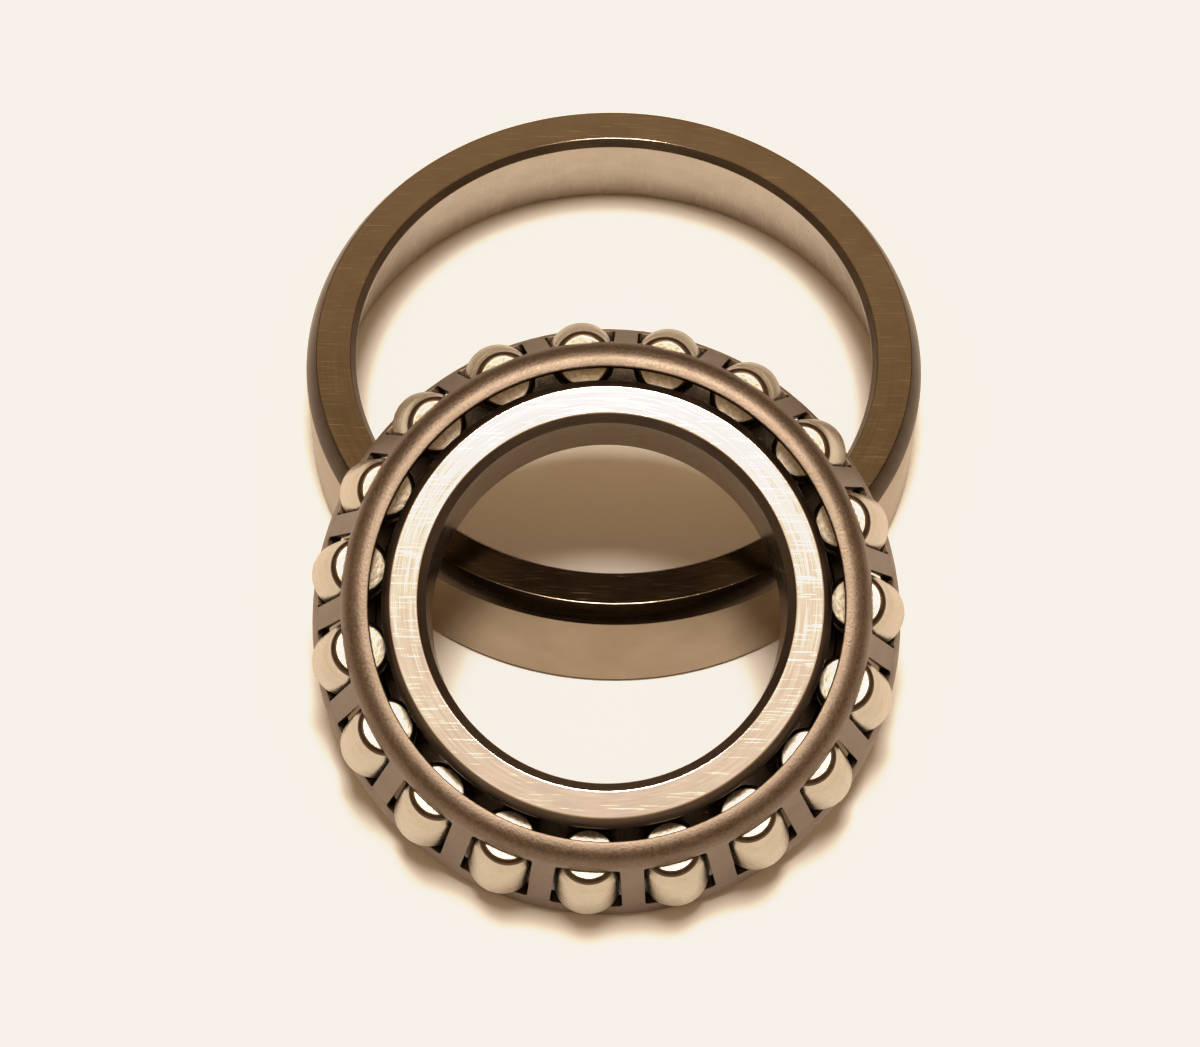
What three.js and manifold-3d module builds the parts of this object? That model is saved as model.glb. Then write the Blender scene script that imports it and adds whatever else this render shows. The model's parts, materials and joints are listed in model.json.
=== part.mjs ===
// Tapered roller bearing of the separable kind, set down the way it is taken apart:
// the outer ring (cup) lies with its large mouth down, and the inner ring with its cage
// and rollers leans on the cup's rim. Millimetres, +Z up, with the origin under the
// middle of the whole object, on the surface that it lies on.

import * as THREE from 'three';
import { mergeVertices } from 'three/addons/utils/BufferGeometryUtils.js';
import Module from 'manifold-3d';

const wasm = await Module();
wasm.setup();

// Outer ring
const CUP_OUTER_R = 50.292 / 2;
const CUP_WIDTH = 10.668;
const CUP_HALF_ANGLE = THREE.MathUtils.degToRad(13.86);
const CUP_FACE_OUTER_R = 24.23;
const CUP_FACE_INNER_R = 21.49;
const CUP_CORNER_HEIGHT = 1.7;
const CUP_TRACK_TOP_R = 21.04;
const CUP_TRACK_TOP_DEPTH = 0.673;
const CUP_MOUTH_BREAK = 0.3;

// Inner ring
const BORE_R = 26.988 / 2;
const RING_WIDTH = 14.732;
const RING_STANDOUT = 0.508;        // past the cup's back face when the bearing is closed
const SMALL_FACE_INNER_R = 14.1;
const SMALL_FACE_OUTER_R = 16.147;
const FRONT_BEVEL_DEPTH = 1.0;
const SMALL_RIB_R = 16.8;
const SMALL_RIB_END = 3.0;
const LARGE_RIB_R = 20.1;
const BACK_EDGE_BREAK = 0.3;
const BACK_CORNER_DEPTH = 3.24;     // the corner that clears a shaft's fillet
const BACK_CORNER_RISE = 2.86;
const UNDERCUT = 0.25;

// Rollers
const ROLLER_COUNT = 19;
const ROLLER_HALF_ANGLE = THREE.MathUtils.degToRad(1.55);
const ROLLER_SMALL_DEPTH = 3.0;     // along the bearing's axis, from the small face
const ROLLER_LARGE_DEPTH = 11.25;
const ROLLER_DRAW_IN = 0.3;         // play that lets the cup slide over the rollers
const ROLLER_SMALL_CORNER = 0.65;
const ROLLER_LARGE_CORNER = 0.45;
const FIRST_ROLLER_ANGLE = THREE.MathUtils.degToRad(-92.8);
const TRACK_CLEARANCE = 0.1;
const END_CLEARANCE = 0.3;

// Cage
const CAGE_SHEET = 0.95;
const CAGE_MOUTH_R = 17.8;
const CAGE_TOP_DEPTH = 0.8;
const CAGE_MOUTH_BREAK = 0.1;
const CAGE_BEND_START_R = 18.3;
const CAGE_BEND_R = 1.6;
const CAGE_WALL_ANGLE = THREE.MathUtils.degToRad(15.5);
const CAGE_END_DEPTH = 13.2;
const POCKET_MARGIN = 0.6;

// How the inner ring's assembly lies: the middle of its small face, from the middle of
// the cup's lower face, and its tilt towards -Y
const UNIT_X = -0.13;
const UNIT_Y = -30.553;
const UNIT_Z = 21.86;
const UNIT_TILT = THREE.MathUtils.degToRad(24.4);

const RING_SEGMENTS = 76;           // four to each roller's pitch
const ROLLER_SEGMENTS = 20;
const POCKET_SEGMENTS = 16;

// Every rolling surface points at one apex on the bearing's axis, above the small face.
const APEX_HEIGHT = CUP_TRACK_TOP_R / Math.tan(CUP_HALF_ANGLE) - RING_STANDOUT - CUP_TRACK_TOP_DEPTH;
const ROLLER_TILT = CUP_HALF_ANGLE - ROLLER_HALF_ANGLE;
const RING_HALF_ANGLE = CUP_HALF_ANGLE - 2 * ROLLER_HALF_ANGLE;

function rollerAxisR(depth) {
  return (depth + APEX_HEIGHT) * Math.tan(ROLLER_TILT) - ROLLER_DRAW_IN;
}

function rollerR(depth) {
  return (depth + APEX_HEIGHT) / Math.cos(ROLLER_TILT) * Math.tan(ROLLER_HALF_ANGLE);
}

function innerTrackR(depth) {
  return (depth + APEX_HEIGHT) * Math.tan(RING_HALF_ANGLE) - ROLLER_DRAW_IN - TRACK_CLEARANCE;
}

// Points on an ellipse in the profile plane, between two angles in degrees.
function arc(centreR, centreDepth, radiusR, radiusDepth, from, to, steps) {
  const points = [];
  for (let i = 0; i <= steps; i++) {
    const angle = THREE.MathUtils.degToRad(from + (to - from) * i / steps);
    points.push([centreR + radiusR * Math.cos(angle), centreDepth + radiusDepth * Math.sin(angle)]);
  }
  return points;
}

// A closed body from a turned outline of [radius, depth] points. Depth runs down, along -Z.
function turned(outline, segments, startAngle = 0) {
  const points = outline.map(([r, depth]) => new THREE.Vector2(r, -depth));
  const lathe = new THREE.LatheGeometry(points, segments, startAngle);
  lathe.deleteAttribute('normal');
  lathe.deleteAttribute('uv');
  lathe.rotateX(Math.PI / 2);
  const merged = mergeVertices(lathe, 1e-4);
  const corners = [];
  for (let i = 0; i < merged.index.count; i += 3) {
    const triangle = [0, 1, 2].map((k) => merged.index.getX(i + k));
    if (new Set(triangle).size === 3) {
      corners.push(...triangle);
    }
  }
  merged.setIndex(corners);
  return merged;
}

function closedOutline(points) {
  return [...points, points[0]];
}

function solidFrom(geometry) {
  const mesh = new wasm.Mesh({
    numProp: 3,
    vertProperties: new Float32Array(geometry.attributes.position.array),
    triVerts: new Uint32Array(geometry.index.array),
  });
  return new wasm.Manifold(mesh);
}

function geometryFrom(solid) {
  const mesh = solid.getMesh();
  const geometry = new THREE.BufferGeometry();
  geometry.setAttribute('position', new THREE.BufferAttribute(new Float32Array(mesh.vertProperties), 3));
  geometry.setIndex(Array.from(mesh.triVerts));
  geometry.computeVertexNormals();
  return geometry;
}

function steel(colour, roughness, metalness) {
  return new THREE.MeshStandardMaterial({ color: colour, roughness, metalness });
}

function namedMesh(name, geometry, material) {
  geometry.computeVertexNormals();
  const mesh = new THREE.Mesh(geometry, material);
  mesh.name = name;
  return mesh;
}

// Outer ring, with its back face up and its tapered track opening downwards.
function makeCup() {
  const mouthR = CUP_TRACK_TOP_R
    + (CUP_WIDTH - CUP_TRACK_TOP_DEPTH - CUP_MOUTH_BREAK) * Math.tan(CUP_HALF_ANGLE);
  const cornerRise = CUP_OUTER_R - CUP_FACE_OUTER_R;
  const outline = [
    [CUP_FACE_INNER_R, 0],
    [CUP_TRACK_TOP_R, CUP_TRACK_TOP_DEPTH],
    [mouthR, CUP_WIDTH - CUP_MOUTH_BREAK],
    [mouthR + CUP_MOUTH_BREAK, CUP_WIDTH],
    [CUP_OUTER_R - CUP_MOUTH_BREAK, CUP_WIDTH],
    [CUP_OUTER_R, CUP_WIDTH - CUP_MOUTH_BREAK],
    ...arc(CUP_FACE_OUTER_R, CUP_CORNER_HEIGHT, cornerRise, CUP_CORNER_HEIGHT, 0, -90, 4),
  ];
  const cup = namedMesh('cup', turned(closedOutline(outline), RING_SEGMENTS), steel(0x7b7164, 0.42, 0.9));
  cup.position.z = CUP_WIDTH;
  return cup;
}

// Inner ring: small rib, tapered track, large rib and a deep corner at the back of the bore.
function makeInnerRing() {
  const ribFace = (r) => ROLLER_LARGE_DEPTH + END_CLEARANCE / Math.cos(ROLLER_TILT)
    + (rollerAxisR(ROLLER_LARGE_DEPTH) - r) * Math.tan(ROLLER_TILT);
  const trackStart = SMALL_RIB_END + 0.6;
  const trackEnd = ribFace(innerTrackR(ROLLER_LARGE_DEPTH)) - 0.5;
  const grooveR = innerTrackR(trackStart) - UNDERCUT;
  const rootR = innerTrackR(trackEnd) - UNDERCUT;
  const backCornerR = BORE_R + BACK_CORNER_RISE;
  const outline = [
    [SMALL_FACE_INNER_R, 0],
    [BORE_R, FRONT_BEVEL_DEPTH],
    ...arc(backCornerR, RING_WIDTH - BACK_CORNER_DEPTH, BACK_CORNER_RISE, BACK_CORNER_DEPTH, 180, 90, 4),
    [LARGE_RIB_R - BACK_EDGE_BREAK, RING_WIDTH],
    [LARGE_RIB_R, RING_WIDTH - BACK_EDGE_BREAK],
    [LARGE_RIB_R, ribFace(LARGE_RIB_R) + BACK_EDGE_BREAK],
    [LARGE_RIB_R - BACK_EDGE_BREAK, ribFace(LARGE_RIB_R)],
    [rootR + UNDERCUT, ribFace(rootR + UNDERCUT)],
    [rootR, ribFace(rootR) + UNDERCUT / 2],
    [rootR, trackEnd + UNDERCUT / 2],
    [innerTrackR(trackEnd), trackEnd],
    [innerTrackR(trackStart), trackStart],
    [grooveR, trackStart - UNDERCUT],
    [grooveR, SMALL_RIB_END],
    [SMALL_RIB_R, SMALL_RIB_END],
    [SMALL_RIB_R, FRONT_BEVEL_DEPTH],
    [SMALL_FACE_OUTER_R, 0],
  ];
  return namedMesh('inner_ring', turned(closedOutline(outline), RING_SEGMENTS), steel(0xc9c2b6, 0.22, 0.95));
}

// The room that one roller needs in the cage, as a tapered body round the roller's axis.
function pocketCutter(index) {
  const reach = ROLLER_LARGE_DEPTH - ROLLER_SMALL_DEPTH + 2 * END_CLEARANCE;
  const smallR = rollerR(ROLLER_SMALL_DEPTH - END_CLEARANCE) + POCKET_MARGIN;
  const largeR = rollerR(ROLLER_LARGE_DEPTH + END_CLEARANCE) + POCKET_MARGIN;
  const length = reach / Math.cos(ROLLER_TILT);
  const outline = [[0, length], [largeR, length], [smallR, 0], [0, 0]];
  const geometry = turned(outline, POCKET_SEGMENTS);
  geometry.applyMatrix4(rollerPlace(index, ROLLER_SMALL_DEPTH - END_CLEARANCE));
  return solidFrom(geometry);
}

// Where a roller's axis stands at a depth, with the roller's small end towards +Z.
function rollerPlace(index, depth) {
  const tilt = new THREE.Matrix4().makeRotationY(-ROLLER_TILT);
  const out = new THREE.Matrix4().makeTranslation(rollerAxisR(depth), 0, -depth);
  const angle = FIRST_ROLLER_ANGLE + 2 * Math.PI * index / ROLLER_COUNT;
  return new THREE.Matrix4().makeRotationZ(angle).multiply(out).multiply(tilt);
}

// Pressed steel cage: an inward flange, a rounded bend and a tapered wall with a pocket
// for each roller, closed by a rim at its large end.
function makeCage() {
  const bendDepth = CAGE_TOP_DEPTH + CAGE_BEND_R;
  const innerBendR = CAGE_BEND_R - CAGE_SHEET;
  const wallAngle = -THREE.MathUtils.radToDeg(CAGE_WALL_ANGLE);
  const outerBend = arc(CAGE_BEND_START_R, bendDepth, CAGE_BEND_R, CAGE_BEND_R, -90, wallAngle, 4);
  const innerBend = arc(CAGE_BEND_START_R, bendDepth, innerBendR, innerBendR, wallAngle, -90, 2);
  const wallEnd = ([r, depth]) => [r + (CAGE_END_DEPTH - depth) * Math.tan(CAGE_WALL_ANGLE), CAGE_END_DEPTH];
  const outline = [
    [CAGE_MOUTH_R, CAGE_TOP_DEPTH + CAGE_MOUTH_BREAK],
    [CAGE_MOUTH_R, CAGE_TOP_DEPTH + CAGE_SHEET - CAGE_MOUTH_BREAK],
    [CAGE_MOUTH_R + CAGE_MOUTH_BREAK, CAGE_TOP_DEPTH + CAGE_SHEET],
    ...innerBend.toReversed(),
    wallEnd(innerBend[0]),
    wallEnd(outerBend.at(-1)),
    ...outerBend.toReversed(),
    [CAGE_MOUTH_R + CAGE_MOUTH_BREAK, CAGE_TOP_DEPTH],
  ];
  const quarterPitch = 2 * Math.PI / RING_SEGMENTS;
  const firstPocket = FIRST_ROLLER_ANGLE + Math.PI / 2 + quarterPitch / 2;
  let shell = solidFrom(turned(closedOutline(outline), RING_SEGMENTS, firstPocket));
  for (let i = 0; i < ROLLER_COUNT; i++) {
    shell = shell.subtract(pocketCutter(i));
  }
  return namedMesh('cage', geometryFrom(shell), steel(0x8a7f70, 0.5, 0.85));
}

function makeRoller(index) {
  const smallR = rollerR(ROLLER_SMALL_DEPTH);
  const largeR = rollerR(ROLLER_LARGE_DEPTH);
  const length = (ROLLER_LARGE_DEPTH - ROLLER_SMALL_DEPTH) / Math.cos(ROLLER_TILT);
  const outline = [
    [0, length],
    [largeR - ROLLER_LARGE_CORNER, length],
    [largeR, length - ROLLER_LARGE_CORNER],
    [smallR, ROLLER_SMALL_CORNER],
    [smallR - ROLLER_SMALL_CORNER, 0],
    [0, 0],
  ];
  const name = 'roller_' + String(index + 1).padStart(2, '0');
  const roller = namedMesh(name, turned(outline, ROLLER_SEGMENTS), steel(0xcfc3a8, 0.28, 0.9));
  roller.applyMatrix4(rollerPlace(index, ROLLER_SMALL_DEPTH));
  return roller;
}

// The inner ring with its cage and rollers, leaning on the cup.
function makeLeaningUnit() {
  const unit = new THREE.Group();
  unit.add(makeInnerRing(), makeCage());
  for (let i = 0; i < ROLLER_COUNT; i++) {
    unit.add(makeRoller(i));
  }
  unit.position.set(UNIT_X, UNIT_Y, UNIT_Z);
  unit.rotation.x = UNIT_TILT;
  return unit;
}

const pair = new THREE.Group();
pair.add(makeCup(), makeLeaningUnit());
pair.updateMatrixWorld(true);

// The origin stands under the middle of the whole object.
const extent = new THREE.Box3().setFromObject(pair, true);
const middle = extent.getCenter(new THREE.Vector3());
pair.position.set(-middle.x, -middle.y, -extent.min.z);

const bearing = new THREE.Group();
bearing.add(pair);

export default bearing;
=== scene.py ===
"""How the tapered roller bearing looks.

The outer ring (cup), the inner ring and the rollers are turned here with fine steps, and the
cage is built as the pressed sheet that it is. Each piece stands where its CAD node or its
joint is. Lengths in the tables below are millimetres, and the scene is in metres.
"""

import json
import math
import random

import bmesh
import bpy
from mathutils import Matrix, Vector


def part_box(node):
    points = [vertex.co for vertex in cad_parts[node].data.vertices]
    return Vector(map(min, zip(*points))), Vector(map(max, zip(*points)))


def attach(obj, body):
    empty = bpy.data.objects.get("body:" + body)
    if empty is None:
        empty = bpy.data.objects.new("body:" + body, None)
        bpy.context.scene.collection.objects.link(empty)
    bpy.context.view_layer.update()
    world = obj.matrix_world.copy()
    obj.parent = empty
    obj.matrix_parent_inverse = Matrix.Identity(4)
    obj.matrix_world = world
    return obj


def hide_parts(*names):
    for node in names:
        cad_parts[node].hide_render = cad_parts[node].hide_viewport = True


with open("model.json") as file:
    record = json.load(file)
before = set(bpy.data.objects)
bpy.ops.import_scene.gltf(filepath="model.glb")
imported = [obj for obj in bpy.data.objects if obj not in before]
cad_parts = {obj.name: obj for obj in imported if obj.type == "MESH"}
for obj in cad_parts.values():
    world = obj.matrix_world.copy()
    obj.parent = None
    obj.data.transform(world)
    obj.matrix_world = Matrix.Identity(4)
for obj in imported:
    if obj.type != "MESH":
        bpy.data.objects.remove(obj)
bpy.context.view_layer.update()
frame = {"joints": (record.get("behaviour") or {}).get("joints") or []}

MM = 0.001

# Outer ring
CUP_OUTER_R = 25.146
CUP_WIDTH = 10.668
CUP_HALF_ANGLE = math.radians(13.86)
CUP_FACE_OUTER_R = 24.23
CUP_FACE_INNER_R = 21.49
CUP_CORNER_HEIGHT = 1.7
CUP_TRACK_TOP_R = 21.04
CUP_TRACK_TOP_DEPTH = 0.673
CUP_CORNER_CROWN = 0.1            # how far the outer corner bulges past a straight chamfer
CUP_MOUTH_BREAK = 0.3

# Inner ring
BORE_R = 13.494
RING_WIDTH = 14.732
RING_STANDOUT = 0.508
SMALL_FACE_INNER_R = 14.1
SMALL_FACE_OUTER_R = 16.147
FRONT_BEVEL_DEPTH = 1.0
SMALL_RIB_R = 16.8
SMALL_RIB_END = 3.0
LARGE_RIB_R = 20.1
BACK_EDGE_BREAK = 0.3
BACK_CORNER_DEPTH = 3.24
BACK_CORNER_RISE = 2.86
UNDERCUT = 0.25
TRACK_LEAD = 0.6                  # from the small rib's end to where the inner track starts
TRACK_RUNOUT = 0.5                # from the inner track's end to the large rib
BACK_CORNER_START = 172           # degrees on the ellipse that rounds the bore's back corner
BACK_CORNER_STEPS = 14
CORNER_CROWN_STEPS = 10
ORBIT_DEPTH = 7.0                 # where the record puts the cage's joint on the axis

# Rollers
ROLLER_COUNT = 19
ROLLER_HALF_ANGLE = math.radians(1.55)
ROLLER_SMALL_DEPTH = 3.0
ROLLER_LARGE_DEPTH = 11.25
ROLLER_DRAW_IN = 0.3
ROLLER_CORNER_R = 0.5             # how far each rounded end corner reaches in
ROLLER_CORNER_LENGTH = 0.45
RELIEF_DROP = 0.18                # the side's crowned fall towards the small end
RELIEF_LENGTH = 2.2
RELIEF_CROWN = 0.04
RELIEF_STEPS = 8
ROLLER_CORNER_FROM = 8            # degrees where the large end's corner arc leaves the side
SMALL_CORNER_FROM = 12            # and the small end's
ROLLER_CORNER_TO = 78             # degrees where either arc meets the end face
ROLLER_CORNER_STEPS = 6
ROLLER_SEED = 19                  # for the angle at which each roller is turned
FIRST_ROLLER_ANGLE = math.radians(-92.8)
TRACK_CLEARANCE = 0.1
END_CLEARANCE = 0.3

# Cage
CAGE_SHEET = 0.95
CAGE_MOUTH_R = 17.8
CAGE_TOP_DEPTH = 0.8
CAGE_MOUTH_BREAK = 0.06
CAGE_BEND_START_R = 18.3
CAGE_BEND_R = 1.6
CAGE_WALL_ANGLE = math.radians(15.5)
CAGE_END_DEPTH = 13.2
BAR_WIDTH = 1.8
BAR_CLEARANCE = 0.32
POCKET_CORNER = 0.35
CAGE_RIM_BREAK = 0.15
CAGE_CUT_BREAK = 0.05             # the rounding on the cage's cut edges
CAGE_CUT_ANGLE = math.radians(40)
CAGE_BEND_STEPS = 12
CAGE_INNER_BEND_STEPS = 8
MERGE_DISTANCE = 0.002            # points closer than this are one point

EDGE_BREAK = 0.07                 # the small rounding on every turned corner
EDGE_BREAK_SHARE = 0.4            # the most of a short stretch that a rounding takes
EDGE_BREAK_STEPS = 4
CORNER_TURN = math.radians(14)    # an outline that turns less than this is left smooth
SHARP_ANGLE = math.radians(34)
RING_SEGMENTS = 256
ROLLER_SEGMENTS = 64

APEX_HEIGHT = CUP_TRACK_TOP_R / math.tan(CUP_HALF_ANGLE) - RING_STANDOUT - CUP_TRACK_TOP_DEPTH
ROLLER_TILT = CUP_HALF_ANGLE - ROLLER_HALF_ANGLE
RING_HALF_ANGLE = CUP_HALF_ANGLE - 2 * ROLLER_HALF_ANGLE
PITCH = 2 * math.pi / ROLLER_COUNT


def roller_axis_r(depth):
    return (depth + APEX_HEIGHT) * math.tan(ROLLER_TILT) - ROLLER_DRAW_IN


def roller_r(depth):
    return (depth + APEX_HEIGHT) / math.cos(ROLLER_TILT) * math.tan(ROLLER_HALF_ANGLE)


def inner_track_r(depth):
    return (depth + APEX_HEIGHT) * math.tan(RING_HALF_ANGLE) - ROLLER_DRAW_IN - TRACK_CLEARANCE


# ---------------------------------------------------------------- shader building

SPECULAR = 0.5
SCRATCH_ROUGHNESS = 0.10          # how much rougher a scratch is than the steel round it
SCRATCH_ANGLES = (math.radians(38), math.radians(-27))
SCRATCH_SCALE = (260, 9000, 260)
SCRATCH_START = 0.70              # the noise level where a scratch begins to show
SCRATCH_END = 0.78
SCRATCH_DENSITY_STEP = 0.04       # how far a density of 1 lowers both levels
LINE_TINT = 0.35                  # how much of the third tone the grinding lines carry
CLOUD_BUMP = 1.5                  # depth of the mottling, as a multiple of the grain's
STOP_LOW = 0.3                    # where a noise starts and ends its change of tone
STOP_HIGH = 0.7


def add_node(tree, kind, **settings):
    node = tree.nodes.new(kind)
    for name, value in settings.items():
        setattr(node, name, value)
    return node


def set_inputs(node, **values):
    for name, value in values.items():
        node.inputs[name].default_value = value


def new_material(name, metallic, specular):
    material = bpy.data.materials.new(name)
    material.use_nodes = True
    tree = material.node_tree
    shader = tree.nodes["Principled BSDF"]
    shader.inputs["Metallic"].default_value = metallic
    shader.inputs["Specular IOR Level"].default_value = specular
    return material, tree, shader


def local_position(tree, scale):
    """The piece's own coordinates, in metres, multiplied per axis."""
    place = add_node(tree, "ShaderNodeTexCoord")
    scaled = add_node(tree, "ShaderNodeVectorMath", operation="MULTIPLY")
    scaled.inputs[1].default_value = scale
    tree.links.new(place.outputs["Object"], scaled.inputs[0])
    return scaled.outputs[0]


def round_position(tree, around, across):
    """Coordinates for grain that runs round the local Z axis without a seam."""
    flat = local_position(tree, (1, 1, 0))
    direction = add_node(tree, "ShaderNodeVectorMath", operation="NORMALIZE")
    tree.links.new(flat, direction.inputs[0])
    turned_part = add_node(tree, "ShaderNodeVectorMath", operation="SCALE")
    turned_part.inputs["Scale"].default_value = around
    tree.links.new(direction.outputs[0], turned_part.inputs[0])
    radius = add_node(tree, "ShaderNodeVectorMath", operation="LENGTH")
    tree.links.new(flat, radius.inputs[0])
    height = add_node(tree, "ShaderNodeSeparateXYZ")
    tree.links.new(local_position(tree, (1, 1, across)), height.inputs[0])
    spread = add_node(tree, "ShaderNodeMath", operation="MULTIPLY_ADD")
    spread.inputs[1].default_value = across
    tree.links.new(radius.outputs["Value"], spread.inputs[0])
    tree.links.new(height.outputs["Z"], spread.inputs[2])
    rise = add_node(tree, "ShaderNodeCombineXYZ")
    tree.links.new(spread.outputs[0], rise.inputs["Z"])
    both = add_node(tree, "ShaderNodeVectorMath", operation="ADD")
    tree.links.new(turned_part.outputs[0], both.inputs[0])
    tree.links.new(rise.outputs[0], both.inputs[1])
    return both.outputs[0]


def noise(tree, position, scale=1.0, detail=3.0, roughness=0.55):
    texture = add_node(tree, "ShaderNodeTexNoise")
    set_inputs(texture, Scale=scale, Detail=detail, Roughness=roughness)
    tree.links.new(position, texture.inputs["Vector"])
    return texture.outputs["Fac"]


def ramp(tree, value, *stops):
    """A colour ramp from (position, colour) stops."""
    node = add_node(tree, "ShaderNodeValToRGB")
    elements = node.color_ramp.elements
    for element, (position, colour) in zip(elements, (stops[0], stops[-1])):
        element.position = position
        element.color = (*colour, 1)
    for position, colour in stops[1:-1]:
        elements.new(position).color = (*colour, 1)
    tree.links.new(value, node.inputs["Fac"])
    return node.outputs["Color"]


def mapped(tree, value, low, high, start=STOP_LOW, end=STOP_HIGH):
    """The value's range from start to end, spread from low to high."""
    node = add_node(tree, "ShaderNodeMapRange")
    node.inputs["From Min"].default_value = start
    node.inputs["From Max"].default_value = end
    node.inputs["To Min"].default_value = low
    node.inputs["To Max"].default_value = high
    tree.links.new(value, node.inputs["Value"])
    return node.outputs["Result"]


def mixed(tree, factor, colour, tint):
    """The colour, mixed towards a constant tint by the factor."""
    node = add_node(tree, "ShaderNodeMix", data_type="RGBA", blend_type="MIX")
    tree.links.new(factor, node.inputs["Factor"])
    tree.links.new(colour, node.inputs["A"])
    node.inputs["B"].default_value = (*tint, 1)
    return node.outputs["Result"]


def summed(tree, value, extra, share):
    """The value plus a share of another one."""
    node = add_node(tree, "ShaderNodeMath", operation="MULTIPLY_ADD")
    node.inputs[1].default_value = share
    tree.links.new(extra, node.inputs[0])
    tree.links.new(value, node.inputs[2])
    return node.outputs[0]


def bump(tree, shader, *layers):
    """Bump from (value, depth in millimetres) layers, one on another."""
    previous = None
    for value, depth in layers:
        node = add_node(tree, "ShaderNodeBump")
        node.inputs["Strength"].default_value = 1.0
        node.inputs["Distance"].default_value = depth * MM
        tree.links.new(value, node.inputs["Height"])
        if previous is not None:
            tree.links.new(previous, node.inputs["Normal"])
        previous = node.outputs["Normal"]
    tree.links.new(previous, shader.inputs["Normal"])


def scratches(tree, angle, density):
    """Thin straight scratches across the local XY plane, 1 on a scratch and 0 elsewhere."""
    turn = add_node(tree, "ShaderNodeMapping")
    turn.inputs["Rotation"].default_value = (0, 0, angle)
    turn.inputs["Scale"].default_value = SCRATCH_SCALE
    place = add_node(tree, "ShaderNodeTexCoord")
    tree.links.new(place.outputs["Object"], turn.inputs["Vector"])
    lines = noise(tree, turn.outputs[0], detail=1.0)
    lowered = SCRATCH_DENSITY_STEP * density
    return mapped(tree, lines, 0.0, 1.0, SCRATCH_START - lowered, SCRATCH_END - lowered)


def ground_steel(name, tones, roughness, around=4.0, across=9000, grain=0.004, mottle=260,
                 scratched=0.0):
    """Turned or ground steel: fine lines round the axis, soft mottling and light scratches.

    The tones are two for the mottling, one for the lines and, if scratched, one for the scratches.
    """
    material, tree, shader = new_material(name, 1.0, SPECULAR)
    lines = noise(tree, round_position(tree, around, across), detail=2.0)
    clouds = noise(tree, local_position(tree, (mottle, mottle, mottle)), detail=4.0)
    colour = ramp(tree, clouds, (STOP_LOW, tones[0]), (STOP_HIGH, tones[1]))
    colour = mixed(tree, mapped(tree, lines, 0.0, LINE_TINT), colour, tones[2])
    low, high = roughness
    rough = mapped(tree, lines, low, high)
    if scratched:
        for angle in SCRATCH_ANGLES:
            marks = scratches(tree, angle, scratched)
            colour = mixed(tree, marks, colour, tones[3])
            rough = summed(tree, rough, marks, SCRATCH_ROUGHNESS)
    tree.links.new(colour, shader.inputs["Base Color"])
    tree.links.new(rough, shader.inputs["Roughness"])
    bump(tree, shader, (lines, grain), (clouds, grain * CLOUD_BUMP))
    return material


CUP_FACE_TONES = ((0.215, 0.18, 0.13), (0.27, 0.23, 0.17), (0.33, 0.285, 0.215), (0.40, 0.34, 0.26))
CUP_CORNER_TONES = ((0.050, 0.037, 0.025), (0.075, 0.057, 0.040), (0.11, 0.086, 0.062))
CUP_EDGE_TONES = ((0.10, 0.08, 0.06), (0.15, 0.12, 0.09), (0.20, 0.17, 0.13))
CUP_TRACK_TONES = ((0.41, 0.355, 0.285), (0.50, 0.44, 0.36), (0.56, 0.50, 0.42))
CUP_WALL_TONES = ((0.31, 0.247, 0.168), (0.38, 0.31, 0.22), (0.44, 0.37, 0.28))
RING_FACE_TONES = ((0.80, 0.785, 0.765), (0.88, 0.87, 0.86), (0.93, 0.92, 0.91), (0.72, 0.68, 0.62))
RING_BEVEL_TONES = ((0.13, 0.10, 0.075), (0.18, 0.145, 0.11), (0.24, 0.195, 0.15))
# Painted shade: the small rib and its groove are toned near black for the shadow between the ring's small
# face, the cage's flange and the rollers.
RING_RIB_TONES = ((0.05, 0.038, 0.028), (0.07, 0.055, 0.04), (0.10, 0.08, 0.06))
RING_BORE_TONES = ((0.15, 0.122, 0.09), (0.19, 0.158, 0.118), (0.24, 0.205, 0.158))
# Painted shade: the inner ring's track, seen only between the rollers, is toned far darker than the cup's
# track for the shadow it lies in.
RING_TRACK_TONES = ((0.13, 0.105, 0.08), (0.17, 0.14, 0.105), (0.22, 0.185, 0.145))
ROLLER_SIDE_TONES = ((0.465, 0.42, 0.335), (0.55, 0.505, 0.41), (0.635, 0.585, 0.485))
ROLLER_CORNER_TONES = ((0.06, 0.043, 0.028), (0.10, 0.073, 0.048), (0.14, 0.105, 0.073))
ROLLER_END_TONES = ((0.36, 0.31, 0.225), (0.80, 0.75, 0.64), (0.66, 0.60, 0.49))


def cup_finishes():
    return {
        "face": ground_steel("cup_ground_face", CUP_FACE_TONES, (0.10, 0.19), grain=0.0015, scratched=1.3),
        "corner": ground_steel("cup_dark_corner", CUP_CORNER_TONES, (0.24, 0.36), mottle=600),
        "edge": ground_steel("cup_broken_edge", CUP_EDGE_TONES, (0.30, 0.45)),
        "track": ground_steel("cup_honed_track", CUP_TRACK_TONES, (0.20, 0.30), around=60, across=300,
                              mottle=420),
        "wall": ground_steel("cup_ground_wall", CUP_WALL_TONES, (0.30, 0.42)),
    }


def ring_finishes():
    return {
        "face": ground_steel("ring_ground_face", RING_FACE_TONES, (0.07, 0.13), scratched=1.5,
                             grain=0.0015, mottle=420),
        "rough": ground_steel("ring_dark_bevel", RING_BEVEL_TONES, (0.32, 0.45)),
        # painted shade on the small rib and its groove
        "rib": ground_steel("ring_rib_painted_shade", RING_RIB_TONES, (0.30, 0.42)),
        "bore": ground_steel("ring_ground_bore", RING_BORE_TONES, (0.20, 0.32)),
        # painted shade on the inner track
        "track": ground_steel("ring_honed_track_painted_shade", RING_TRACK_TONES, (0.16, 0.26), around=60, across=300),
    }


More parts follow.
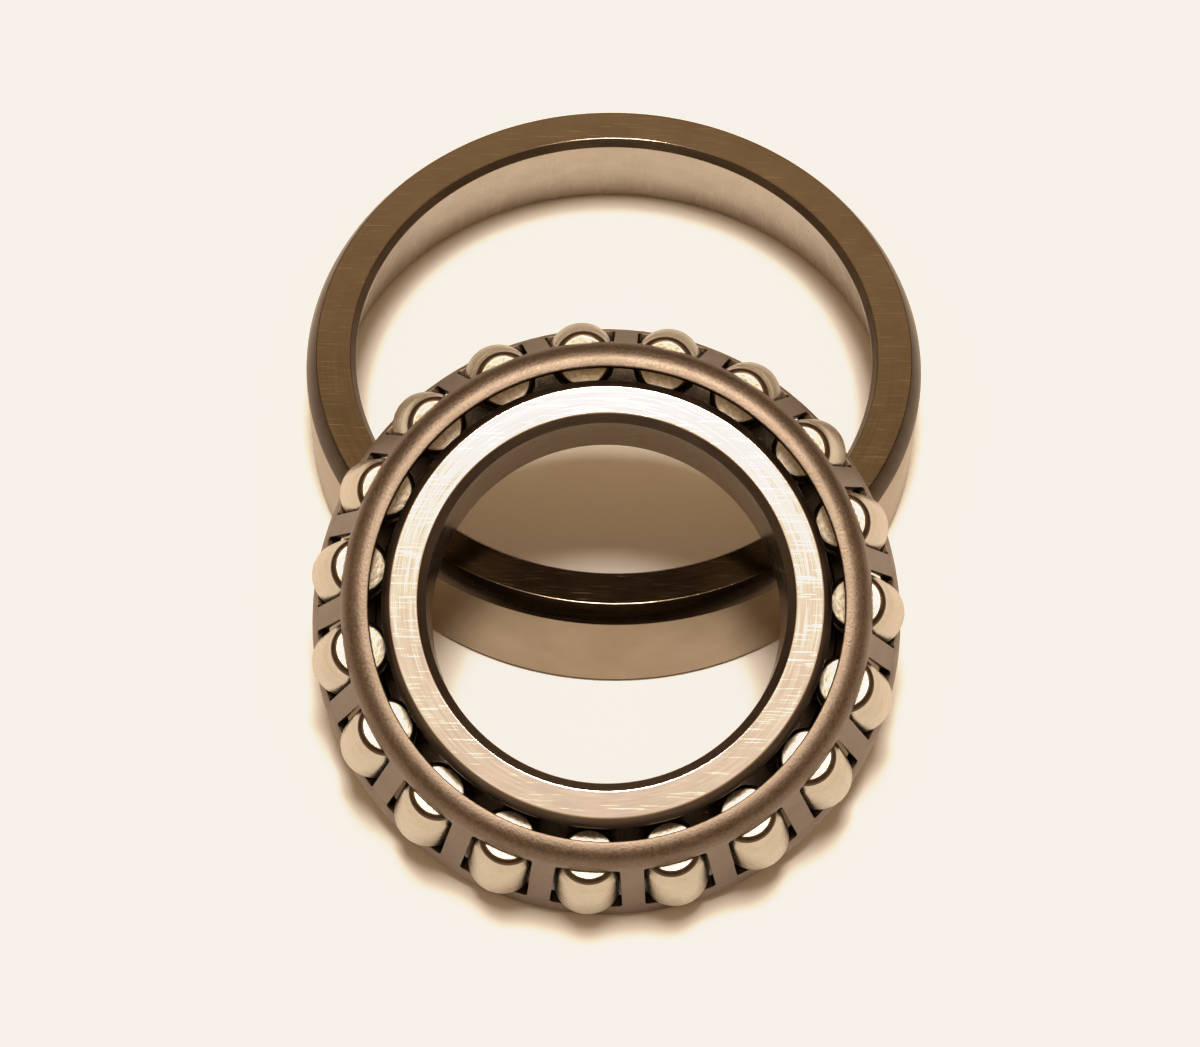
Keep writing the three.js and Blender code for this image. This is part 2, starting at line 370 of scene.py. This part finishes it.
def roller_finishes():
    return {
        "side": ground_steel("roller_ground_side", ROLLER_SIDE_TONES, (0.24, 0.36), mottle=500),
        "corner": ground_steel("roller_dark_corner", ROLLER_CORNER_TONES, (0.30, 0.42), mottle=900),
        "end": ground_steel("roller_tumbled_end", ROLLER_END_TONES, (0.34, 0.50), mottle=2400, grain=0.012),
    }


CAGE_BLOTCH_SCALE = (320, 320, 320)
CAGE_PIT_SCALE = (5200, 5200, 5200)
CAGE_PIT_TINT = 0.6               # how much of the brighter tone the pitting carries
CAGE_PIT_DEPTH = 0.022
CAGE_BLOTCH_DEPTH = 0.02
CAGE_ROUGHNESS = (0.37, 0.54)


def pressed_sheet(name, dark, light, sparkle):
    """Pressed sheet with a dull phosphate skin: fine pitting and soft blotches."""
    material, tree, shader = new_material(name, 1.0, SPECULAR)
    clouds = noise(tree, local_position(tree, CAGE_BLOTCH_SCALE), detail=4.0)
    pits = noise(tree, local_position(tree, CAGE_PIT_SCALE), detail=3.0, roughness=0.7)
    colour = ramp(tree, clouds, (STOP_LOW, dark), (STOP_HIGH, light))
    colour = mixed(tree, mapped(tree, pits, 0.0, CAGE_PIT_TINT), colour, sparkle)
    tree.links.new(colour, shader.inputs["Base Color"])
    tree.links.new(mapped(tree, pits, *CAGE_ROUGHNESS), shader.inputs["Roughness"])
    bump(tree, shader, (pits, CAGE_PIT_DEPTH), (clouds, CAGE_BLOTCH_DEPTH))
    return material


def cage_finishes():
    return {
        "sheet": pressed_sheet("cage_phosphated_sheet", (0.10, 0.077, 0.058), (0.155, 0.124, 0.098),
                               (0.30, 0.25, 0.205)),
        # Painted shade: the pockets' cut edges and the sheet's inside are toned near black for the shadow
        # in the slits and under the flange, where the light does not reach.
        "cut": pressed_sheet("cage_inside_painted_shade", (0.022, 0.016, 0.011), (0.040, 0.030, 0.021),
                             (0.07, 0.053, 0.038)),
    }


# ---------------------------------------------------------------- turned pieces

def arc(centre_r, centre_depth, radius_r, radius_depth, start, end, steps):
    """Points on an ellipse in the (radius, depth) plane, between two angles in degrees."""
    points = []
    for i in range(steps + 1):
        angle = math.radians(start + (end - start) * i / steps)
        across = radius_r * math.cos(angle)
        down = radius_depth * math.sin(angle)
        points.append((centre_r + across, centre_depth + down))
    return points


def crowned(start, end, bulge, steps):
    """Points from start to end on a shallow curve that bulges to the left of the way there."""
    run_r, run_depth = end[0] - start[0], end[1] - start[1]
    length = math.hypot(run_r, run_depth)
    points = []
    for i in range(1, steps + 1):
        t = i / steps
        off = 4 * bulge * t * (1 - t) / length
        points.append((start[0] + run_r * t - run_depth * off, start[1] + run_depth * t + run_r * off))
    return points


def between(a, b, distance):
    """The point that far from a towards b."""
    length = math.dist(a, b)
    share = distance / length
    return (a[0] + (b[0] - a[0]) * share, a[1] + (b[1] - a[1]) * share)


def softened(outline):
    """The closed outline with each clear corner replaced by a small rounding.

    Each item is (radius, depth, finish of the stretch that ends there).
    """
    result = []
    count = len(outline)
    for i, (r, depth, finish) in enumerate(outline):
        before = outline[i - 1]
        after = outline[(i + 1) % count]
        here = (r, depth)
        reach_in = min(EDGE_BREAK, EDGE_BREAK_SHARE * math.dist(here, before[:2]))
        reach_out = min(EDGE_BREAK, EDGE_BREAK_SHARE * math.dist(here, after[:2]))
        heading_in = math.atan2(depth - before[1], r - before[0])
        heading_out = math.atan2(after[1] - depth, after[0] - r)
        turn = abs((heading_out - heading_in + math.pi) % (2 * math.pi) - math.pi)
        if r == 0 or turn < CORNER_TURN:
            result.append((r, depth, finish))
            continue
        start = between(here, before[:2], reach_in)
        end = between(here, after[:2], reach_out)
        result.append((*between(start, before[:2], reach_in / 2), finish))
        for step in range(EDGE_BREAK_STEPS + 1):
            t = step / EDGE_BREAK_STEPS
            a, b, c = (1 - t) ** 2, 2 * t * (1 - t), t * t
            point = (a * start[0] + b * r + c * end[0], a * start[1] + b * depth + c * end[1])
            result.append((*point, finish if t <= 0.5 else after[2]))
        result.append((*between(end, after[:2], reach_out / 2), after[2]))
    return result


def ring_of_points(bm, r, depth, segments):
    if r == 0:
        return [bm.verts.new((0, 0, -depth * MM))]
    ring = []
    for k in range(segments):
        angle = 2 * math.pi * k / segments
        ring.append(bm.verts.new((r * MM * math.cos(angle), r * MM * math.sin(angle), -depth * MM)))
    return ring


def join_rings(bm, a, b, finish):
    """Faces between two rings of points, either of which may be a single point on the axis."""
    count = max(len(a), len(b))
    if count == 1:
        return
    for k in range(count):
        k2 = (k + 1) % count
        corners = [a[k % len(a)], a[k2 % len(a)], b[k2 % len(b)], b[k % len(b)]]
        unique = list(dict.fromkeys(corners))
        bm.faces.new(unique).material_index = finish


def turned(stretches, finishes, segments):
    """A closed body turned from stretches of (finish, [(radius, depth), ...])."""
    names = list(finishes)
    outline = [(r, depth, names.index(finish)) for finish, points in stretches for r, depth in points]
    bm = bmesh.new()
    outline = softened(outline)
    rings = [ring_of_points(bm, r, depth, segments) for r, depth, _ in outline]
    for i, ring in enumerate(rings):
        join_rings(bm, rings[i - 1], ring, outline[i][2])
    return bm


def add_piece(name, bm, place, finishes, body, node):
    """The mesh as an object that stands for its CAD node and moves with its body."""
    bmesh.ops.recalc_face_normals(bm, faces=bm.faces)
    for face in bm.faces:
        face.smooth = True
    for edge in bm.edges:
        edge.smooth = edge.calc_face_angle(0) < SHARP_ANGLE
    mesh = bpy.data.meshes.new(name)
    bm.to_mesh(mesh)
    bm.free()
    for material in finishes.values():
        mesh.materials.append(material)
    piece = bpy.data.objects.new(name, mesh)
    bpy.context.scene.collection.objects.link(piece)
    piece.matrix_world = place
    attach(piece, body)
    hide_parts(node)
    return piece


def make_cup():
    low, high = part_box("cup")
    centre = (low + high) / 2
    place = Matrix.Translation((centre.x, centre.y, high.z))
    track_depth = CUP_WIDTH - CUP_TRACK_TOP_DEPTH - CUP_MOUTH_BREAK
    mouth_r = CUP_TRACK_TOP_R + track_depth * math.tan(CUP_HALF_ANGLE)
    stretches = [
        ("face", [(CUP_FACE_INNER_R, 0)]),
        ("edge", [(CUP_TRACK_TOP_R, CUP_TRACK_TOP_DEPTH)]),
        ("track", [(mouth_r, CUP_WIDTH - CUP_MOUTH_BREAK)]),
        ("edge", [(mouth_r + CUP_MOUTH_BREAK, CUP_WIDTH)]),
        ("face", [(CUP_OUTER_R - CUP_MOUTH_BREAK, CUP_WIDTH)]),
        ("edge", [(CUP_OUTER_R, CUP_WIDTH - CUP_MOUTH_BREAK)]),
        ("wall", [(CUP_OUTER_R, CUP_CORNER_HEIGHT)]),
        ("corner", crowned((CUP_OUTER_R, CUP_CORNER_HEIGHT), (CUP_FACE_OUTER_R, 0),
                           CUP_CORNER_CROWN, CORNER_CROWN_STEPS)),
    ]
    finishes = cup_finishes()
    bm = turned(stretches, finishes, RING_SEGMENTS)
    add_piece("cup_turned", bm, place, finishes, "cup", "cup")


def joint_named(name):
    return next(j for j in frame["joints"] if j["name"] == name)


def standing(origin, axis, outward):
    """A place whose local Z is the axis and whose local X points outward."""
    z = Vector(axis).normalized()
    x = (outward - z * outward.dot(z)).normalized()
    y = z.cross(x)
    place = Matrix((x, y, z)).transposed().to_4x4()
    place.translation = origin
    return place


def unit_place():
    """Where the inner ring's small face is, with the bearing's axis as local Z."""
    orbit = joint_named("cage_orbit")
    axis = Vector(orbit["axis"]).normalized()
    return standing(Vector(orbit["pos_m"]) + axis * ORBIT_DEPTH * MM, axis, Vector((1, 0, 0)))


def make_inner_ring():
    def rib_face(r):
        end = ROLLER_LARGE_DEPTH + END_CLEARANCE / math.cos(ROLLER_TILT)
        return end + (roller_axis_r(ROLLER_LARGE_DEPTH) - r) * math.tan(ROLLER_TILT)

    track_start = SMALL_RIB_END + TRACK_LEAD
    track_end = rib_face(inner_track_r(ROLLER_LARGE_DEPTH)) - TRACK_RUNOUT
    groove_r = inner_track_r(track_start) - UNDERCUT
    root_r = inner_track_r(track_end) - UNDERCUT
    corner_r = BORE_R + BACK_CORNER_RISE
    corner_depth = RING_WIDTH - BACK_CORNER_DEPTH
    stretches = [
        ("face", [(SMALL_FACE_INNER_R, 0)]),
        ("rough", [(BORE_R, FRONT_BEVEL_DEPTH)]),
        ("bore", [(BORE_R, corner_depth)]),
        ("rough", arc(corner_r, corner_depth, BACK_CORNER_RISE, BACK_CORNER_DEPTH,
                      BACK_CORNER_START, 90, BACK_CORNER_STEPS)),
        ("bore", [(LARGE_RIB_R - BACK_EDGE_BREAK, RING_WIDTH)]),
        ("rough", [(LARGE_RIB_R, RING_WIDTH - BACK_EDGE_BREAK)]),
        ("rough", [(LARGE_RIB_R, rib_face(LARGE_RIB_R) + BACK_EDGE_BREAK)]),
        ("rough", [(LARGE_RIB_R - BACK_EDGE_BREAK, rib_face(LARGE_RIB_R))]),
        ("track", [(root_r + UNDERCUT, rib_face(root_r + UNDERCUT))]),
        ("rough", [(root_r, rib_face(root_r) + UNDERCUT / 2), (root_r, track_end + UNDERCUT / 2)]),
        ("rough", [(inner_track_r(track_end), track_end)]),
        ("track", [(inner_track_r(track_start), track_start)]),
        # the groove and the small rib carry the painted shade tone
        ("rib", [(groove_r, track_start - UNDERCUT), (groove_r, SMALL_RIB_END)]),
        ("rib", [(SMALL_RIB_R, SMALL_RIB_END), (SMALL_RIB_R, FRONT_BEVEL_DEPTH)]),
        ("rough", [(SMALL_FACE_OUTER_R, 0)]),
    ]
    finishes = ring_finishes()
    bm = turned(stretches, finishes, RING_SEGMENTS)
    add_piece("inner_ring_turned", bm, unit_place(), finishes, "inner_ring", "inner_ring")


def make_rollers():
    """Nineteen ground rollers, each turned by its own angle so that no two look alike."""
    small_r = roller_r(ROLLER_SMALL_DEPTH)
    large_r = roller_r(ROLLER_LARGE_DEPTH)
    length = (ROLLER_LARGE_DEPTH - ROLLER_SMALL_DEPTH) / math.cos(ROLLER_TILT)
    relief_start = between((small_r, 0), (large_r, length), RELIEF_LENGTH)
    relief_end = (small_r - RELIEF_DROP, ROLLER_CORNER_LENGTH)
    stretches = [
        ("end", [(0, length), (large_r - ROLLER_CORNER_R, length)]),
        ("corner", arc(large_r - ROLLER_CORNER_R, length - ROLLER_CORNER_LENGTH, ROLLER_CORNER_R,
                       ROLLER_CORNER_LENGTH, ROLLER_CORNER_TO, ROLLER_CORNER_FROM,
                       ROLLER_CORNER_STEPS)),
        ("side", [(large_r, length - ROLLER_CORNER_LENGTH), relief_start]),
        ("side", crowned(relief_start, relief_end, -RELIEF_CROWN, RELIEF_STEPS)),
        ("corner", arc(relief_end[0] - ROLLER_CORNER_R, ROLLER_CORNER_LENGTH, ROLLER_CORNER_R,
                       ROLLER_CORNER_LENGTH, -SMALL_CORNER_FROM, -ROLLER_CORNER_TO,
                       ROLLER_CORNER_STEPS)),
        ("end", [(relief_end[0] - ROLLER_CORNER_R, 0), (0, 0)]),
    ]
    finishes = roller_finishes()
    centre = unit_place().translation
    chance = random.Random(ROLLER_SEED)
    for index in range(ROLLER_COUNT):
        body = f"roller_{index + 1:02d}"
        spin = joint_named(body + "_spin")
        origin = Vector(spin["pos_m"])
        place = standing(origin, spin["axis"], origin - centre)
        place = place @ Matrix.Rotation(chance.uniform(0, 2 * math.pi), 4, "Z")
        bm = turned(stretches, finishes, ROLLER_SEGMENTS)
        add_piece(body + "_ground", bm, place, finishes, body, body)


# ---------------------------------------------------------------- cage

WALL_START_R = CAGE_BEND_START_R + CAGE_BEND_R * math.cos(CAGE_WALL_ANGLE)
WALL_START_DEPTH = CAGE_TOP_DEPTH + CAGE_BEND_R - CAGE_BEND_R * math.sin(CAGE_WALL_ANGLE)
POCKET_COLUMNS = 6
BAR_COLUMNS = 2
POCKET_CORNER_STEPS = 4
POCKET_LENGTH_STEPS = 7
SETTLING_ROUNDS = 6
SHEET, CUT = 0, 1                 # the cage's finishes: the sheet's skin, and its cut edges and inside


def outer_wall_r(depth):
    return WALL_START_R + (depth - WALL_START_DEPTH) * math.tan(CAGE_WALL_ANGLE)


def inner_wall_r(depth):
    return outer_wall_r(depth) - CAGE_SHEET / math.cos(CAGE_WALL_ANGLE)


def outer_pocket_angle(r, depth):
    """Half of a pocket's angle at the sheet's outer surface, where the bars are of one width.

    The depth makes no difference here. It is taken so that both surfaces are asked the same way.
    """
    return PITCH / 2 - BAR_WIDTH / 2 / r


def inner_pocket_angle(r, depth):
    """Half of a pocket's angle at the sheet's inner surface, which follows the roller."""
    away = roller_axis_r(depth)
    cosine = (away ** 2 + r ** 2 - roller_r(depth) ** 2) / (2 * away * r)
    return math.acos(cosine) + BAR_CLEARANCE / r


def square_to_roller(wall_r, roller_depth):
    """The depth where a plane across the roller, at that depth on its axis, meets a wall."""
    depth = roller_depth
    for _ in range(SETTLING_ROUNDS):
        depth = roller_depth - (wall_r(depth) - roller_axis_r(roller_depth)) * math.tan(ROLLER_TILT)
    return depth


def pocket_rows(wall_r, pocket_angle):
    """(radius, depth, half angle) down a pocket, with its rounded corners."""
    start = square_to_roller(wall_r, ROLLER_SMALL_DEPTH - END_CLEARANCE)
    end = square_to_roller(wall_r, ROLLER_LARGE_DEPTH + END_CLEARANCE)
    corner = []
    for step in range(POCKET_CORNER_STEPS + 1):
        angle = math.radians(90 * step / POCKET_CORNER_STEPS)
        corner.append((POCKET_CORNER * (1 - math.cos(angle)), POCKET_CORNER * (1 - math.sin(angle))))
    rows = [(start + along, narrower) for along, narrower in corner]
    for step in range(1, POCKET_LENGTH_STEPS):
        rows.append((start + (end - start) * step / POCKET_LENGTH_STEPS, 0))
    rows += [(end - along, narrower) for along, narrower in reversed(corner)]
    result = []
    for depth, narrower in rows:
        r = wall_r(depth)
        result.append((r, depth, pocket_angle(r, depth) - narrower / r))
    return result


def cage_rows():
    """The sheet's closed outline from the flange's mouth, down the outside and back up the inside.

    Returns the rows and the ranges of rows that the pockets take on each side.
    """
    bend_depth = CAGE_TOP_DEPTH + CAGE_BEND_R
    wall_angle = -math.degrees(CAGE_WALL_ANGLE)
    outer_pocket = pocket_rows(outer_wall_r, outer_pocket_angle)
    inner_pocket = pocket_rows(inner_wall_r, inner_pocket_angle)
    first_outer = outer_pocket[0][2]
    first_inner = inner_pocket[0][2]
    last_outer = outer_pocket[-1][2]
    last_inner = inner_pocket[-1][2]
    edge = CAGE_MOUTH_BREAK
    outside = [(CAGE_MOUTH_R, CAGE_TOP_DEPTH + edge), (CAGE_MOUTH_R + edge, CAGE_TOP_DEPTH)]
    outside += arc(CAGE_BEND_START_R, bend_depth, CAGE_BEND_R, CAGE_BEND_R, -90, wall_angle,
                   CAGE_BEND_STEPS)
    inner_bend_r = CAGE_BEND_R - CAGE_SHEET
    inside = arc(CAGE_BEND_START_R, bend_depth, inner_bend_r, inner_bend_r, wall_angle, -90,
                 CAGE_INNER_BEND_STEPS)
    inside += [(CAGE_MOUTH_R + edge, CAGE_TOP_DEPTH + CAGE_SHEET),
               (CAGE_MOUTH_R, CAGE_TOP_DEPTH + CAGE_SHEET - edge)]
    rows = [(r, depth, first_outer) for r, depth in outside]
    outer_range = range(len(rows), len(rows) + len(outer_pocket))
    rows += outer_pocket
    rim = CAGE_RIM_BREAK
    rows += [
        (outer_wall_r(CAGE_END_DEPTH - rim), CAGE_END_DEPTH - rim, last_outer),
        (outer_wall_r(CAGE_END_DEPTH) - rim, CAGE_END_DEPTH, last_outer),
        (inner_wall_r(CAGE_END_DEPTH) + rim, CAGE_END_DEPTH, last_inner),
        (inner_wall_r(CAGE_END_DEPTH - rim), CAGE_END_DEPTH - rim, last_inner),
    ]
    inner_range = range(len(rows), len(rows) + len(inner_pocket))
    rows += reversed(inner_pocket)
    rows += [(r, depth, first_inner) for r, depth in inside]
    return rows, outer_range, inner_range


def column_angles(half):
    """Angles across one pitch, from a pocket's one side to the next pocket's."""
    angles = [-half + 2 * half * k / POCKET_COLUMNS for k in range(POCKET_COLUMNS)]
    bar = PITCH - 2 * half
    return angles + [half + bar * k / BAR_COLUMNS for k in range(BAR_COLUMNS)]


def cage_points(bm, rows):
    grid = []
    for r, depth, half in rows:
        ring = []
        for index in range(ROLLER_COUNT):
            middle = FIRST_ROLLER_ANGLE + PITCH * index
            for angle in column_angles(half):
                x, y = math.cos(middle + angle), math.sin(middle + angle)
                ring.append(bm.verts.new((r * MM * x, r * MM * y, -depth * MM)))
        grid.append(ring)
    return grid


def cage_surfaces(bm, grid, outer_range, inner_range):
    """The sheet's own faces, with the pockets left open."""
    per_pitch = POCKET_COLUMNS + BAR_COLUMNS
    for i, ring in enumerate(grid):
        after = (i + 1) % len(grid)
        in_pocket = any(i in rows and after in rows for rows in (outer_range, inner_range))
        for k in range(len(ring)):
            if in_pocket and k % per_pitch < POCKET_COLUMNS:
                continue
            k2 = (k + 1) % len(ring)
            face = bm.faces.new((ring[k], ring[k2], grid[after][k2], grid[after][k]))
            # the inside surfaces take the near-black painted shade
            face.material_index = CUT if i >= inner_range[0] - 1 else SHEET


def pocket_walls(bm, grid, outer_range, inner_range):
    """The cut edges of the sheet round each pocket."""
    outer = [grid[i] for i in outer_range]
    inner = [grid[i] for i in reversed(inner_range)]
    per_pitch = POCKET_COLUMNS + BAR_COLUMNS
    for index in range(ROLLER_COUNT):
        first = index * per_pitch
        last = first + POCKET_COLUMNS
        for k in (first, last):
            for i in range(len(outer) - 1):
                # the cut edges take the near-black painted shade
                cut = bm.faces.new((outer[i][k], outer[i + 1][k], inner[i + 1][k], inner[i][k]))
                cut.material_index = CUT
        for row in (0, len(outer) - 1):
            for k in range(first, last):
                cut = bm.faces.new((outer[row][k], outer[row][k + 1], inner[row][k + 1], inner[row][k]))
                cut.material_index = CUT


def make_cage():
    bm = bmesh.new()
    rows, outer_range, inner_range = cage_rows()
    grid = cage_points(bm, rows)
    cage_surfaces(bm, grid, outer_range, inner_range)
    pocket_walls(bm, grid, outer_range, inner_range)
    bmesh.ops.recalc_face_normals(bm, faces=bm.faces)
    cut_edges = [e for e in bm.edges if e.calc_face_angle(0) > CAGE_CUT_ANGLE]
    bmesh.ops.bevel(bm, geom=cut_edges, offset=CAGE_CUT_BREAK * MM, segments=2, profile=0.5,
                    affect="EDGES", clamp_overlap=True)
    bmesh.ops.remove_doubles(bm, verts=bm.verts, dist=MERGE_DISTANCE * MM)
    bmesh.ops.dissolve_degenerate(bm, dist=MERGE_DISTANCE * MM, edges=bm.edges)
    add_piece("cage_pressed", bm, unit_place(), cage_finishes(), "cage", "cage")


# ---------------------------------------------------------------- table, light and camera

TABLE_SIZE = 3.0
TABLE_CELLS = 8
TABLE_SCALE = (14, 14, 14)
TABLE_DARK = (0.875, 0.855, 0.82)
TABLE_LIGHT = (0.89, 0.87, 0.84)
TABLE_ROUGHNESS = 0.8
TABLE_SPECULAR = 0.2
TABLE_GAP = 0.00002               # keeps the table just under the faces that lie on it

CAMERA_DISTANCE = 0.298           # from the middle of the cup's lower face
CAMERA_ELEVATION = math.radians(56.557)
CAMERA_ROLL = math.radians(1.282)
CAMERA_AIM_RIGHT = math.radians(0.2034)
CAMERA_AIM_UP = math.radians(-1.678)
CAMERA_LENS = 106.35
SENSOR_WIDTH = 36.0
CLIP_START = 0.01

LIGHT_TARGET = Vector((0, 0, 0.01))
# name, (azimuth, elevation) in degrees, distance, size, power, colour
SOFTBOXES = (
    ("key_core", (0, 84), 1.0, (0.20, 0.20), 9.2, (1.0, 0.99, 0.975)),
    ("key_halo", (0, 77), 1.05, (0.50, 0.46), 0.27, (0.93, 0.94, 1.0)),
    ("back_fill", (180, 49), 1.1, (0.5, 0.24), 0.08, (1.0, 0.90, 0.80)),
    ("left_fill", (-75, 45), 1.2, (0.8, 0.8), 0.7, (1.0, 0.84, 0.64)),
    ("right_fill", (75, 45), 1.2, (0.8, 0.8), 0.7, (1.0, 0.84, 0.64)),
)
# the room's colour by the upward part of the direction
ROOM_TONES = (
    (0.0, (0.17, 0.12, 0.07)),
    (0.35, (0.29, 0.212, 0.128)),
    (0.7, (0.45, 0.335, 0.205)),
    (1.0, (0.45, 0.335, 0.205)),
)

WHITE_LEVEL = 2.5
RED_CURVE = ((0, 0), (0.08, 0.205), (0.25, 0.62), (0.39, 0.92), (0.55, 0.93), (1, 1))
GREEN_CURVE = ((0, 0), (0.08, 0.172), (0.25, 0.55), (0.38, 0.87), (0.53, 0.885), (1, 0.985))
BLUE_CURVE = ((0, 0), (0.08, 0.147), (0.25, 0.49), (0.36, 0.81), (0.50, 0.845), (1, 0.965))


def make_table():
    bm = bmesh.new()
    bmesh.ops.create_grid(bm, x_segments=TABLE_CELLS, y_segments=TABLE_CELLS, size=TABLE_SIZE / 2)
    mesh = bpy.data.meshes.new("table")
    bm.to_mesh(mesh)
    bm.free()
    material, tree, shader = new_material("table_paper", 0.0, TABLE_SPECULAR)
    clouds = noise(tree, local_position(tree, TABLE_SCALE), detail=3.0)
    colour = ramp(tree, clouds, (STOP_LOW, TABLE_DARK), (STOP_HIGH, TABLE_LIGHT))
    tree.links.new(colour, shader.inputs["Base Color"])
    shader.inputs["Roughness"].default_value = TABLE_ROUGHNESS
    mesh.materials.append(material)
    table = bpy.data.objects.new("table", mesh)
    table.location.z = -TABLE_GAP
    bpy.context.scene.collection.objects.link(table)


def add_softbox(name, direction, distance, size, power, colour):
    """A rectangular area light that looks at the object from a direction given in degrees:
    azimuth from -Y towards +X, and elevation."""
    azimuth, elevation = (math.radians(a) for a in direction)
    level = math.cos(elevation)
    towards = Vector((math.sin(azimuth) * level, -math.cos(azimuth) * level, math.sin(elevation)))
    data = bpy.data.lights.new(name, "AREA")
    data.shape = "RECTANGLE"
    data.size, data.size_y = size
    data.energy = power
    data.color = colour
    light = bpy.data.objects.new(name, data)
    light.location = LIGHT_TARGET + towards * distance
    light.rotation_euler = towards.to_track_quat("Z", "Y").to_euler()
    bpy.context.scene.collection.objects.link(light)


def make_world():
    """A warm room: brown and dim round the horizon, brighter overhead."""
    world = bpy.data.worlds.new("studio")
    world.use_nodes = True
    tree = world.node_tree
    background = tree.nodes["Background"]
    place = add_node(tree, "ShaderNodeTexCoord")
    split = add_node(tree, "ShaderNodeSeparateXYZ")
    tree.links.new(place.outputs["Generated"], split.inputs[0])
    tree.links.new(ramp(tree, split.outputs["Z"], *ROOM_TONES), background.inputs["Color"])
    bpy.context.scene.world = world


def make_camera():
    low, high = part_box("cup")
    target = Vector(((low.x + high.x) / 2, (low.y + high.y) / 2, low.z))
    away = Vector((0, -math.cos(CAMERA_ELEVATION), math.sin(CAMERA_ELEVATION)))
    data = bpy.data.cameras.new("camera")
    data.lens = CAMERA_LENS
    data.sensor_width = SENSOR_WIDTH
    data.sensor_fit = "HORIZONTAL"
    data.clip_start = CLIP_START
    camera = bpy.data.objects.new("camera", data)
    aim = Matrix.Rotation(math.pi / 2 - CAMERA_ELEVATION, 4, "X")
    aim = aim @ Matrix.Rotation(CAMERA_ROLL, 4, "Z")
    aim = aim @ Matrix.Rotation(CAMERA_AIM_RIGHT, 4, "Y")
    aim = aim @ Matrix.Rotation(CAMERA_AIM_UP, 4, "X")
    camera.matrix_world = Matrix.Translation(target + away * CAMERA_DISTANCE) @ aim
    bpy.context.scene.collection.objects.link(camera)
    bpy.context.scene.camera = camera


def set_curve(curve, *points):
    """Bends a tone curve through (in, out) points. It already has points at 0 and 1."""
    curve.points[0].location = points[0]
    curve.points[1].location = points[-1]
    for point in points[1:-1]:
        curve.points.new(*point)
    for point in curve.points:
        point.handle_type = "AUTO_CLAMPED"


def set_tone():
    """A bright exposure, with a shoulder that ends in warm white."""
    settings = bpy.context.scene.view_settings
    settings.view_transform = "Standard"
    settings.use_curve_mapping = True
    mapping = settings.curve_mapping
    mapping.white_level = (WHITE_LEVEL, WHITE_LEVEL, WHITE_LEVEL)
    red, green, blue, _ = mapping.curves
    set_curve(red, *RED_CURVE)
    set_curve(green, *GREEN_CURVE)
    set_curve(blue, *BLUE_CURVE)
    mapping.update()


def make_lights():
    for softbox in SOFTBOXES:
        add_softbox(*softbox)
    make_world()


make_cup()
make_inner_ring()
make_cage()
make_rollers()
make_table()
make_lights()
make_camera()
set_tone()
